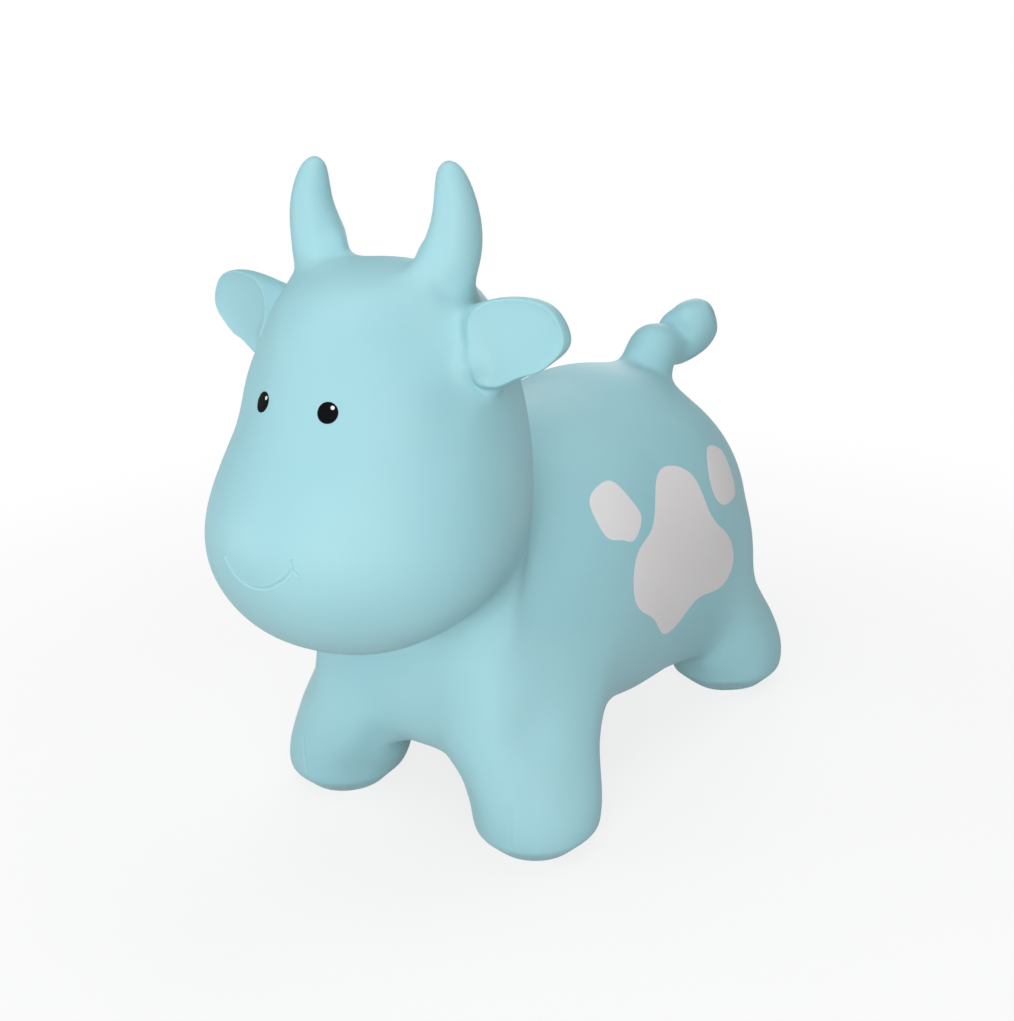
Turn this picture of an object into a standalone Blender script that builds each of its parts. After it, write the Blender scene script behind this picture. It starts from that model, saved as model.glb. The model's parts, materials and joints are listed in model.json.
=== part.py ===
"""Inflatable cow hopper: a blown-up vinyl skin, its air plug, and its printed eyes and patches.

Metres, +Z up. The cow looks along -Y, its left side is +X, and its soles stand on Z = 0.
The skin is one coarse cage under a Subdivision Surface: a torso and a head, each a stack of
sections, are bridged at the neck, and the legs, horns, ears and tail grow out of their faces.
Lengths along Y are counted from the line between the front feet, and the finished cow is then
moved so that the middle of its box stands over the origin.
"""

import enum
import math
from collections import namedtuple

import bmesh
import bpy
from mathutils import Matrix, Vector
from mathutils.bvhtree import BVHTree

# How far the cow reaches: forward, back, to the side and up
MUZZLE_REACH = 0.1850
TAIL_TIP_REACH = 0.4520
EAR_TIP_SPREAD = 0.1580
HORN_TIP_HEIGHT = 0.5345

# Vinyl skin, and the least gap between pieces
WALL = 0.0030
FIT = 0.0003
SKIN_LEVELS = 2
CAVITY_DETAIL = 0.19

TorsoSection = namedtuple("TorsoSection", "reach half_width belly back lean")
HeadSection = namedtuple("HeadSection", "height half_width front back")
Limb = namedtuple("Limb", "x y z half_across half_along")
Ring = namedtuple("Ring", "centre axis across half_across half_along")
Finish = namedtuple("Finish", "name colour roughness")

# Torso from the rump forward to the chest; a lean tips a section's top back
TORSO_COLUMNS = 4
TORSO_ROWS = 3
TORSO_SECTIONS = (
    TorsoSection(0.4030, 0.0775, 0.1175, 0.2490, 0.0000),
    TorsoSection(0.3685, 0.1145, 0.0675, 0.2790, 0.0000),
    TorsoSection(0.2860, 0.1410, 0.0490, 0.3160, 0.0000),
    TorsoSection(0.1750, 0.1340, 0.0500, 0.3155, 0.0000),
    TorsoSection(0.0780, 0.1280, 0.0665, 0.3175, 0.0200),
    TorsoSection(-0.0200, 0.0890, 0.0580, 0.3045, 0.0360),
)
LOWER_FULLNESS = 0.65
REAR_LEVELS = range(1, 3)
RUMP_BULGE = 0.0160

# Head from the chin up to the crown
HEAD_COLUMNS = 4
HEAD_ROWS = 3
HEAD_SECTIONS = (
    HeadSection(0.2030, 0.0730, -0.1475, -0.0200),
    HeadSection(0.2420, 0.1195, -0.1770, 0.0205),
    HeadSection(0.3000, 0.1180, -MUZZLE_REACH, 0.0500),
    HeadSection(0.3680, 0.0960, -0.1290, 0.0660),
    HeadSection(0.4400, 0.0755, -0.1160, 0.0485),
)
CROWN_BULGE = 0.0305
CHIN_BULGE = 0.0140
NAPE_FULLNESS = 0.35
NAPE_LEVELS = range(4)
SIDE_ROWS = range(1, 3)

# Legs
FRONT_STANCE = 0.0985
FRONT_REACH = 0.0020
REAR_STANCE = 0.1100
REAR_REACH = 0.3370
GROIN_INSET = 0.0060
GROIN_DROP = 0.0040
ANKLE_HEIGHT = 0.0380
ANKLE_INSET = 0.0030
ANKLE_HALF_WIDTH = 0.0550
ANKLE_HALF_LENGTH = 0.0530
FOOT_RADIUS = 0.0500
SOLE_EDGE_HEIGHT = 0.0150
SOLE_EDGE_CREASE = 0.75
SOLE_RADIUS = 0.0350

# Left horn, left ear and tail, from the root to the tip
HORN = (
    Limb(0.0585, -0.0215, 0.4675, 0.0230, 0.0230),
    Limb(0.0685, -0.0240, 0.4975, 0.0165, 0.0165),
    Limb(0.0575, -0.0215, HORN_TIP_HEIGHT, 0.0095, 0.0095),
)
EAR = (
    Limb(0.0915, -0.0360, 0.4090, 0.0315, 0.0180),
    Limb(0.1270, -0.0325, 0.4225, 0.0270, 0.0110),
    Limb(EAR_TIP_SPREAD, -0.0310, 0.4295, 0.0160, 0.0090),
)
EAR_RIM = 0.005
EAR_DISH = 0.003
EAR_CREASE = 0.45
EAR_FACING = 0.6
TAIL = (
    Limb(0.0000, 0.3695, 0.2920, 0.0265, 0.0265),
    Limb(0.0030, 0.3790, 0.3170, 0.0275, 0.0275),
    Limb(0.0110, 0.4065, 0.3085, 0.0205, 0.0205),
    Limb(0.0200, 0.4275, 0.3240, 0.0310, 0.0310),
    Limb(0.0290, TAIL_TIP_REACH, 0.3430, 0.0140, 0.0140),
)
TAIL_FOLDS = {0, 2}
TAIL_CREASE = 0.45

# Air valve in the middle of the rump, under the tail
VALVE_HEIGHT = 0.190
SLEEVE_LENGTH = 0.0210
PLUG_HEAD_RADIUS = 0.0075
PLUG_HEAD_THICKNESS = 0.0020
PLUG_HEAD_ROUND = 0.0006
PLUG_STEM_RADIUS = 0.0036
PLUG_LENGTH = 0.0185
PLUG_TIP_RADIUS = 0.0026
PLUG_TIP_LENGTH = 0.0030
RIB_RADIUS = 0.0042
RIB_HEIGHT = 0.0015
RIB_START = 0.0020
RIB_PITCH = 0.0035
RIB_COUNT = 3
TURN_STEPS = 16
MERGE_DISTANCE = 0.00001

# Prints on the skin
PRINT = 0.0003
EYE_SPREAD = 0.0292
EYE_HEIGHT = 0.3784
EYE_RADIUS = 0.0080
EYE_FACETS = 24
GLINT_RADIUS = 0.0016
GLINT_RISE = 0.0042
GLINT_SHIFT = 0.0032
GLINT_FACETS = 12

# How far a cutter stands past the skin, and how far off a line of sight to the skin starts
CUTTER_REACH = 0.020
SIGHT = 1.0

# Outlines of the left flank's patches as control points, back from the front feet and up
PATCHES = {
    "patch_front": (
        (0.126, 0.271), (0.090, 0.262), (0.089, 0.247), (0.089, 0.231),
        (0.120, 0.217), (0.141, 0.235), (0.133, 0.249),
    ),
    "patch_main": (
        (0.217, 0.261), (0.171, 0.252), (0.157, 0.224), (0.114, 0.213),
        (0.107, 0.159), (0.142, 0.150), (0.158, 0.113), (0.199, 0.136),
        (0.232, 0.132), (0.270, 0.127), (0.286, 0.173), (0.243, 0.193),
        (0.236, 0.228),
    ),
    "patch_rear": (
        (0.281, 0.259), (0.256, 0.240), (0.250, 0.222), (0.264, 0.202),
        (0.304, 0.201), (0.301, 0.224), (0.313, 0.237),
    ),
}
PATCH_LEVELS = 2

# Finishes
VINYL = Finish("aqua_vinyl", (0.36, 0.68, 0.74), 0.45)
WHITE_PRINT = Finish("white_print", (0.78, 0.74, 0.74), 0.60)
BLACK_PRINT = Finish("black_print", (0.010, 0.010, 0.011), 0.25)
GLINT_PRINT = Finish("glint_print", (0.90, 0.90, 0.90), 0.30)
PLUG_PLASTIC = Finish("plug_plastic", (0.80, 0.80, 0.78), 0.40)

SHARP = 1.0
ORDER_DIGITS = 5
UP = Vector((0, 0, 1))
LEFT = Vector((1, 0, 0))
BACK = Vector((0, 1, 0))
SIDES = {"left": 1, "right": -1}


def clear_scene():
    for item in list(bpy.data.objects):
        bpy.data.objects.remove(item, do_unlink=True)


def swell(points):
    """How far a ring of cage points stands outside the smooth ring that it makes."""
    return 6 / (4 + 2 * math.cos(2 * math.pi / points))


def on_disc(u, v):
    """A point of the square from -1 to 1 carried onto the unit disc."""
    return u * math.sqrt(1 - v * v / 2), v * math.sqrt(1 - u * u / 2)


def unique(items):
    """The items once each, in the order that they come."""
    return list(dict.fromkeys(items))


def ordered_mesh(name, shape, crease):
    """A mesh of the shape whose points and faces always come in the same order."""
    points = sorted(shape.verts, key=lambda point: [round(value, ORDER_DIGITS) for value in point.co])
    number = {point: place for place, point in enumerate(points)}
    faces = []
    for face in shape.faces:
        corners = [number[point] for point in face.verts]
        first = corners.index(min(corners))
        faces.append(corners[first:] + corners[:first])
    folds = {frozenset(number[point] for point in edge.verts): edge[crease] for edge in shape.edges}
    mesh = bpy.data.meshes.new(name)
    mesh.from_pydata([point.co for point in points], [], sorted(faces), shade_flat=False)
    sharpness = mesh.attributes.new("crease_edge", "FLOAT", "EDGE")
    for edge in mesh.edges:
        sharpness.data[edge.index].value = folds[frozenset(edge.vertices)]
    shape.free()
    return mesh


class Form(enum.IntEnum):
    """What a point of the cage belongs to."""

    TORSO = enum.auto()
    HEAD = enum.auto()
    LIMB = enum.auto()


class Cage:
    """A mesh whose points carry an address: the form they belong to, its column, row and level."""

    def __init__(self):
        self.mesh = bmesh.new()
        self.form = self.mesh.verts.layers.int.new("form")
        self.column = self.mesh.verts.layers.int.new("column")
        self.row = self.mesh.verts.layers.int.new("row")
        self.level = self.mesh.verts.layers.int.new("level")
        self.crease = self.mesh.edges.layers.float.new("crease_edge")

    def extrude(self, faces, keep=False):
        """Extrudes a patch of faces and returns the faces that moved on."""
        made = bmesh.ops.extrude_face_region(self.mesh, geom=faces)["geom"]
        if not keep:
            bmesh.ops.delete(self.mesh, geom=faces, context="FACES")
        for part in made:
            if isinstance(part, bmesh.types.BMEdge):
                part[self.crease] = 0
        return [part for part in made if isinstance(part, bmesh.types.BMFace)]

    def stack(self, form, columns, rows, count, place):
        """A closed block of columns by rows, extruded through count levels set by place(level, u, v)."""
        grid = bmesh.ops.create_grid(self.mesh, x_segments=columns, y_segments=rows, size=1)
        for point in grid["verts"]:
            point[self.form] = form
            point[self.column] = round((point.co.x + 1) / 2 * columns)
            point[self.row] = round((point.co.y + 1) / 2 * rows)
        faces = unique(face for point in grid["verts"] for face in point.link_faces)
        for level in range(count):
            if level:
                faces = self.extrude(faces, keep=level == 1)
            for point in unique(point for face in faces for point in face.verts):
                point[self.level] = level
                u = 2 * point[self.column] / columns - 1
                v = 2 * point[self.row] / rows - 1
                point.co = place(level, u, v)

    def patch(self, form, columns, rows, levels):
        """The faces of a form whose corners all lie in these columns, rows and levels."""

        def inside(point):
            return (
                point[self.form] == form
                and point[self.column] in columns
                and point[self.row] in rows
                and point[self.level] in levels
            )

        return [face for face in self.mesh.faces if all(inside(point) for point in face.verts)]

    def rim(self, faces):
        """The edges round a patch."""
        patch = set(faces)
        edges = unique(edge for face in faces for edge in face.edges)
        return [edge for edge in edges if len(patch.intersection(edge.link_faces)) == 1]

    def join(self, first, second, first_key, second_key):
        """Opens two patches and joins the points of their rims that have equal keys."""
        rim = self.rim(first)
        partner = {second_key(point): point for edge in self.rim(second) for point in edge.verts}
        bmesh.ops.delete(self.mesh, geom=first + second, context="FACES")
        for edge in rim:
            start, end = edge.verts
            self.mesh.faces.new((start, end, partner[first_key(end)], partner[first_key(start)]))

    def set_ring(self, faces, ring):
        """Spreads the points of a patch, all on its rim, evenly round a ring."""
        axis = ring.axis.normalized()
        across = (ring.across - ring.across.project(axis)).normalized()
        along = axis.cross(across)
        points = unique(point for face in faces for point in face.verts)
        points.sort(key=lambda point: point.co[:])
        middle = sum((point.co for point in points), Vector()) / len(points)

        def bearing(point):
            arm = point.co - middle
            return math.atan2(arm.dot(along), arm.dot(across))

        points.sort(key=bearing)
        step = 2 * math.pi / len(points)
        turn = sum(bearing(point) - step * place for place, point in enumerate(points)) / len(points)
        grown = swell(len(points))
        for place, point in enumerate(points):
            angle = turn + step * place
            point.co = (
                ring.centre
                + across * (ring.half_across * grown * math.cos(angle))
                + along * (ring.half_along * grown * math.sin(angle))
            )
            point[self.form] = Form.LIMB

    def grow(self, faces, rings):
        """Extrudes a patch through rings and returns the faces at its end."""
        for ring in rings:
            faces = self.extrude(faces)
            self.set_ring(faces, ring)
        return faces


def torso_point(level, u, v):
    section = TORSO_SECTIONS[level]
    x, z = on_disc(u, v)
    if v < 0:
        x += LOWER_FULLNESS * (u - x)
        z += LOWER_FULLNESS * (v - z)
    grown = swell(2 * (TORSO_COLUMNS + TORSO_ROWS))
    y = section.reach + section.lean * v
    if level == 0:
        y += RUMP_BULGE * max(0, 1 - x * x - z * z)
    middle = (section.belly + section.back) / 2
    half_height = (section.back - section.belly) / 2
    return Vector((x * section.half_width * grown, y, middle + z * half_height * grown))


def head_point(level, u, v):
    section = HEAD_SECTIONS[level]
    x, y = on_disc(u, v)
    if v > 0 and level in NAPE_LEVELS:
        x += NAPE_FULLNESS * (u - x)
        y += NAPE_FULLNESS * (v - y)
    grown = swell(2 * (HEAD_COLUMNS + HEAD_ROWS))
    z = section.height
    bulge = max(0, 1 - x * x - y * y)
    if level == 0:
        z -= CHIN_BULGE * bulge
    if level == len(HEAD_SECTIONS) - 1:
        z += CROWN_BULGE * bulge
    middle = (section.front + section.back) / 2
    half_depth = (section.back - section.front) / 2
    return Vector((x * section.half_width * grown, middle + y * half_depth * grown, z))


def limb_rings(limb, across, side=1):
    """The rings of a limb, each square to the line between its neighbours."""
    centres = [Vector((side * knot.x, knot.y, knot.z)) for knot in limb]
    rings = []
    for place, knot in enumerate(limb):
        before = centres[max(place - 1, 0)]
        after = centres[min(place + 1, len(limb) - 1)]
        rings.append(Ring(centres[place], after - before, across, knot.half_across, knot.half_along))
    return rings


def side_columns(columns, side):
    """The outer pair of columns on one side of a form."""
    return (columns - 1, columns) if side > 0 else (0, 1)


def grow_leg(cage, side, levels, stance, y):
    outer = side_columns(TORSO_COLUMNS, side)
    inner, flank_column = outer if side > 0 else reversed(outer)
    under = cage.patch(Form.TORSO, outer, (0,), levels)
    flank = cage.patch(Form.TORSO, (flank_column,), (0, 1), levels)
    for point in unique(point for face in under for point in face.verts):
        if point[cage.column] == inner:
            point.co -= side * LEFT * GROIN_INSET + UP * GROIN_DROP
    ankle_centre = Vector((side * (stance - ANKLE_INSET), y, ANKLE_HEIGHT))
    ankle = Ring(ankle_centre, -UP, LEFT, ANKLE_HALF_WIDTH, ANKLE_HALF_LENGTH)
    foot = Ring(Vector((side * stance, y, SOLE_EDGE_HEIGHT)), -UP, LEFT, FOOT_RADIUS, FOOT_RADIUS)
    sole = Ring(Vector((side * stance, y, 0)), -UP, LEFT, SOLE_RADIUS, SOLE_RADIUS)
    bottom = cage.grow(under + flank, [ankle, foot])
    for edge in cage.rim(bottom):
        edge[cage.crease] = SOLE_EDGE_CREASE
    for edge in cage.rim(cage.grow(bottom, [sole])):
        edge[cage.crease] = SHARP


def grow_horn(cage, side):
    top = len(HEAD_SECTIONS) - 1
    crown = cage.patch(Form.HEAD, side_columns(HEAD_COLUMNS, side), SIDE_ROWS, (top,))
    cage.grow(crown, limb_rings(HORN, LEFT, side))


def grow_ear(cage, side):
    edge = HEAD_COLUMNS if side > 0 else 0
    top = len(HEAD_SECTIONS) - 1
    temple = cage.patch(Form.HEAD, (edge,), SIDE_ROWS, (top - 1, top))
    known = set(cage.mesh.faces)
    cage.grow(temple, limb_rings(EAR, UP, side))
    bmesh.ops.recalc_face_normals(cage.mesh, faces=cage.mesh.faces)
    front = [
        face
        for face in cage.mesh.faces
        if face not in known
        and side * face.calc_center_median().x > EAR[0].x
        and face.normal.dot(-BACK) > EAR_FACING
    ]
    rim = bmesh.ops.inset_region(
        cage.mesh, faces=front, thickness=EAR_RIM, depth=-EAR_DISH, use_even_offset=True
    )["faces"]
    for edge in cage.rim(front + rim):
        edge[cage.crease] = EAR_CREASE


def grow_tail(cage):
    croup = cage.patch(Form.TORSO, range(1, TORSO_COLUMNS), (TORSO_ROWS,), REAR_LEVELS)
    for place, ring in enumerate(limb_rings(TAIL, LEFT)):
        croup = cage.grow(croup, [ring])
        if place in TAIL_FOLDS:
            for edge in cage.rim(croup):
                edge[cage.crease] = TAIL_CREASE


def make_cage(name, limbs):
    """The cow's cage as a mesh: torso, head and legs, and where limbs is set horns, ears and tail."""
    cage = Cage()
    cage.stack(Form.TORSO, TORSO_COLUMNS, TORSO_ROWS, len(TORSO_SECTIONS), torso_point)
    cage.stack(Form.HEAD, HEAD_COLUMNS, HEAD_ROWS, len(HEAD_SECTIONS), head_point)
    last = len(TORSO_SECTIONS) - 1
    chest = cage.patch(Form.TORSO, range(TORSO_COLUMNS + 1), range(TORSO_ROWS + 1), (last,))
    nape = cage.patch(Form.HEAD, range(HEAD_COLUMNS + 1), (HEAD_ROWS,), NAPE_LEVELS)
    cage.join(
        chest,
        nape,
        lambda point: (point[cage.column], point[cage.row]),
        lambda point: (point[cage.column], point[cage.level]),
    )
    for side in (1, -1):
        grow_leg(cage, side, (last - 1, last), FRONT_STANCE, FRONT_REACH)
        grow_leg(cage, side, REAR_LEVELS, REAR_STANCE, REAR_REACH)
        if limbs:
            grow_horn(cage, side)
            grow_ear(cage, side)
    if limbs:
        grow_tail(cage)
    bmesh.ops.recalc_face_normals(cage.mesh, faces=cage.mesh.faces)
    return ordered_mesh(name, cage.mesh, cage.crease)


def new_collection(name):
    made = bpy.data.collections.new(name)
    bpy.context.scene.collection.children.link(made)
    return made


def new_material(finish):
    made = bpy.data.materials.new(finish.name)
    made.use_nodes = True
    shader = made.node_tree.nodes["Principled BSDF"]
    shader.inputs["Base Color"].default_value = (*finish.colour, 1)
    shader.inputs["Roughness"].default_value = finish.roughness
    shader.inputs["Metallic"].default_value = 0
    return made


class Workshop:
    """The collections of the cow's pieces and of their cutters, all under one empty."""

    def __init__(self):
        self.parts = new_collection("cow_hopper")
        self.cutters = new_collection("cutters")
        self.materials = {}
        self.root = bpy.data.objects.new("cow_hopper_root", None)
        self.parts.objects.link(self.root)

    def add_part(self, name, mesh, finish):
        part = bpy.data.objects.new(name, mesh)
        self.parts.objects.link(part)
        part.parent = self.root
        if finish.name not in self.materials:
            self.materials[finish.name] = new_material(finish)
        mesh.materials.append(self.materials[finish.name])
        return part

    def add_cutter(self, name, mesh):
        cutter = bpy.data.objects.new(name, mesh)
        self.cutters.objects.link(cutter)
        cutter.parent = self.root
        cutter.hide_render = True
        cutter.display_type = "WIRE"
        return cutter


def subdivide(thing, levels):
    """Smooths a cage and splits its faces the same way each time, so that layers of it stay parallel."""
    smooth = thing.modifiers.new("smooth", "SUBSURF")
    smooth.levels = levels
    smooth.render_levels = levels
    split = thing.modifiers.new("split", "TRIANGULATE")
    split.quad_method = "FIXED"


def lift_surface(thing, distance):
    lift = thing.modifiers.new("lift", "DISPLACE")
    lift.mid_level = 0
    lift.strength = distance


def combine(thing, other, operation):
    cut = thing.modifiers.new(other.name, "BOOLEAN")
    cut.operation = operation
    cut.object = other
    cut.solver = "EXACT"


def turned_mesh(name, profile):
    """An outline of radius and height, from the top down."""
    mesh = bpy.data.meshes.new(name)
    points = [(radius, 0, height) for radius, height in profile]
    mesh.from_pydata(points, [(place, place + 1) for place in range(len(points) - 1)], [])
    return mesh


def turn_about_valve(thing, place):
    """Turns an outline about its own Z, which points out of the rump."""
    turn = thing.modifiers.new("turn", "SCREW")
    turn.angle = 2 * math.pi
    turn.steps = TURN_STEPS
    turn.render_steps = TURN_STEPS
    turn.use_merge_vertices = True
    turn.merge_threshold = MERGE_DISTANCE
    turn.use_smooth_shade = True
    thing.location = place
    thing.rotation_euler.x = -math.pi / 2


def valve_sleeve():
    """The collar under the plug's head and the sleeve round its stem, inside the skin."""
    collar = PLUG_HEAD_RADIUS + FIT + WALL
    sleeve = RIB_RADIUS + FIT + WALL
    step = -(PLUG_HEAD_THICKNESS + WALL)
    end = -SLEEVE_LENGTH
    return ((0, 0), (collar, 0), (collar, step), (sleeve, step), (sleeve, end), (0, end))


def valve_bore():
    """The seat for the plug's head and the bore for its stem."""
    seat = PLUG_HEAD_RADIUS + FIT
    bore = RIB_RADIUS + FIT
    step = -PLUG_HEAD_THICKNESS
    end = -(SLEEVE_LENGTH + WALL)
    return ((0, CUTTER_REACH), (seat, CUTTER_REACH), (seat, step), (bore, step), (bore, end), (0, end))


def plug_outline():
    """The plug's round-edged head, its ribbed stem and its tapered tip."""
    seat = FIT - PLUG_HEAD_THICKNESS
    outline = [
        (0, FIT),
        (PLUG_HEAD_RADIUS - PLUG_HEAD_ROUND, FIT),
        (PLUG_HEAD_RADIUS, FIT - PLUG_HEAD_ROUND),
        (PLUG_HEAD_RADIUS, seat),
        (PLUG_STEM_RADIUS, seat),
    ]
    for rib in range(RIB_COUNT):
        top = seat - RIB_START - rib * RIB_PITCH
        outline += [(PLUG_STEM_RADIUS, top), (RIB_RADIUS, top), (PLUG_STEM_RADIUS, top - RIB_HEIGHT)]
    outline += [
        (PLUG_STEM_RADIUS, PLUG_TIP_LENGTH - PLUG_LENGTH),
        (PLUG_TIP_RADIUS, -PLUG_LENGTH),
        (0, -PLUG_LENGTH),
    ]
    return outline


def disc_mesh(name, radius, facets):
    """A round cutter along its own Z."""
    mesh = bpy.data.meshes.new(name)
    disc = bmesh.new()
    bmesh.ops.create_cone(
        disc, cap_ends=True, segments=facets, radius1=radius, radius2=radius, depth=2 * CUTTER_REACH
    )
    disc.to_mesh(mesh)
    disc.free()
    return mesh


def prism_mesh(name, outline, side):
    """A patch's outline carried out of the middle through one flank, its two rims kept sharp."""
    far = max(section.half_width for section in TORSO_SECTIONS) + CUTTER_REACH
    prism = bmesh.new()
    crease = prism.edges.layers.float.new("crease_edge")
    base = prism.faces.new([prism.verts.new((0, y, z)) for y, z in outline])
    moved = bmesh.ops.extrude_face_region(prism, geom=[base])["geom"]
    for point in moved:
        if isinstance(point, bmesh.types.BMVert):
            point.co.x = side * far
    for edge in prism.edges:
        start, end = edge.verts
        if start.co.x == end.co.x:
            edge[crease] = SHARP
    bmesh.ops.recalc_face_normals(prism, faces=prism.faces)
    return ordered_mesh(name, prism, crease)


def print_on(shop, cage_mesh, name, outline, finish, height):
    """A thin layer of the skin's own surface, lifted by height and kept within an outline."""
    layer = shop.add_part(name, cage_mesh.copy(), finish)
    subdivide(layer, SKIN_LEVELS)
    lift_surface(layer, height)
    thick = layer.modifiers.new("thick", "SOLIDIFY")
    thick.thickness = PRINT
    thick.offset = 1
    combine(layer, outline, "INTERSECT")


def make_skin(shop, cage_mesh):
    """The skin before it is hollowed, its surface for finding places on it, and its two ends along Y."""
    skin = shop.add_part("skin", cage_mesh.copy(), VINYL)
    subdivide(skin, SKIN_LEVELS)
    bpy.context.view_layer.update()
    graph = bpy.context.evaluated_depsgraph_get()
    reach = [point.co.y for point in skin.evaluated_get(graph).data.vertices]
    return skin, BVHTree.FromObject(skin, graph), (min(reach), max(reach))


def hollow_skin(shop, skin, valve):
    """Takes the air space and the valve's bore out of the skin; horns, ears and tail stay full."""
    sleeve = shop.add_cutter("valve_sleeve", turned_mesh("valve_sleeve", valve_sleeve()))
    turn_about_valve(sleeve, valve)
    bore = shop.add_cutter("valve_bore", turned_mesh("valve_bore", valve_bore()))
    turn_about_valve(bore, valve)
    cavity = shop.add_cutter("air_space", make_cage("air_space", False))
    subdivide(cavity, SKIN_LEVELS)
    lift_surface(cavity, -WALL)
    coarse = cavity.modifiers.new("coarse", "DECIMATE")
    coarse.ratio = CAVITY_DETAIL
    combine(cavity, sleeve, "DIFFERENCE")
    combine(skin, cavity, "DIFFERENCE")
    combine(skin, bore, "DIFFERENCE")


def make_plug(shop, valve):
    plug = shop.add_part("valve_plug", turned_mesh("valve_plug", plug_outline()), PLUG_PLASTIC)
    turn_about_valve(plug, valve)


def make_eye(shop, cage_mesh, surface, word, side):
    ahead = Vector((side * EYE_SPREAD, -SIGHT, EYE_HEIGHT))
    place, normal, _, _ = surface.ray_cast(ahead, BACK)
    right = UP.cross(normal).normalized()
    above = normal.cross(right)
    turned = Matrix((right, above, normal)).transposed().to_4x4()
    eye = shop.add_cutter("eye_outline_" + word, disc_mesh("eye_outline_" + word, EYE_RADIUS, EYE_FACETS))
    eye.matrix_local = Matrix.Translation(place) @ turned
    print_on(shop, cage_mesh, "eye_" + word, eye, BLACK_PRINT, FIT)
    spot = place + right * GLINT_SHIFT + above * GLINT_RISE
    name = "glint_outline_" + word
    glint = shop.add_cutter(name, disc_mesh(name, GLINT_RADIUS, GLINT_FACETS))
    glint.matrix_local = Matrix.Translation(spot) @ turned
    print_on(shop, cage_mesh, "eye_glint_" + word, glint, GLINT_PRINT, FIT + PRINT + FIT)


def make_patches(shop, cage_mesh, word, side):
    for patch, outline in PATCHES.items():
        name = patch + "_outline_" + word
        prism = shop.add_cutter(name, prism_mesh(name, outline, side))
        subdivide(prism, PATCH_LEVELS)
        print_on(shop, cage_mesh, patch + "_" + word, prism, WHITE_PRINT, FIT)


def main():
    clear_scene()
    shop = Workshop()
    cage_mesh = make_cage("cage", True)
    skin, surface, lengths = make_skin(shop, cage_mesh)
    rump = Vector((0, SIGHT, VALVE_HEIGHT))
    valve, _, _, _ = surface.ray_cast(rump, -BACK)
    for word, side in SIDES.items():
        make_eye(shop, cage_mesh, surface, word, side)
        make_patches(shop, cage_mesh, word, side)
    make_plug(shop, valve)
    hollow_skin(shop, skin, valve)
    shop.root.location.y = -(lengths[0] + lengths[1]) / 2


main()
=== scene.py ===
"""Dresses the inflatable cow hopper: a smooth vinyl skin with its moulded lines, its prints and its plug.

Metres, +Z up, the cow looks along -Y and its left side is +X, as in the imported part.
"""

import json
import math

import bpy
import numpy as np
from mathutils import Matrix, Vector

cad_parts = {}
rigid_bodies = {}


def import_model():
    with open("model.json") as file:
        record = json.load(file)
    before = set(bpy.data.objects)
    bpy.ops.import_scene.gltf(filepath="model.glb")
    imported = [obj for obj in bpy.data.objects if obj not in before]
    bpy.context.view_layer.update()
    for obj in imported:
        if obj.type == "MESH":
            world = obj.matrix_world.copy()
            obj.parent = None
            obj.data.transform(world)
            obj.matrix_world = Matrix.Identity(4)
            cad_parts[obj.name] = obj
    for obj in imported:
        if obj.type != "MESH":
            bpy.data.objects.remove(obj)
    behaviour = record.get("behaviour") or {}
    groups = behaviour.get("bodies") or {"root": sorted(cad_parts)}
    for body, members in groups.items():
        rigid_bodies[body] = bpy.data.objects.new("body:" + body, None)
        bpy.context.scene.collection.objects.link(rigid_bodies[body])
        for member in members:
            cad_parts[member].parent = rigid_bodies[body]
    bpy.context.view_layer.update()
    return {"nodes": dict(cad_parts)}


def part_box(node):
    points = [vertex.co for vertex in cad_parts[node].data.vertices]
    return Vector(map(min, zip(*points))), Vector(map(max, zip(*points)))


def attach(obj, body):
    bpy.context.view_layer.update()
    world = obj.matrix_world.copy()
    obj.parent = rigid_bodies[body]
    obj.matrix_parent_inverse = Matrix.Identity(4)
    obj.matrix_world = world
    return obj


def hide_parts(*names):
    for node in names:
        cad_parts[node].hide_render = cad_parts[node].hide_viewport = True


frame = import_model()

SIDES = {"left": 1, "right": -1}

# Skin
MERGE_DISTANCE = 0.00002
QUAD_ANGLE = math.radians(60)
ROUNDING_LEVELS = 2

# Soles, flat on the floor, and the rims over them
SOLE_BORDER = 0.004
SOLE_CREASE = 0.5
RIM_HEIGHT = 0.01125
RIM_CREASE = 0.8
LEVEL_SLACK = 0.0003

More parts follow.
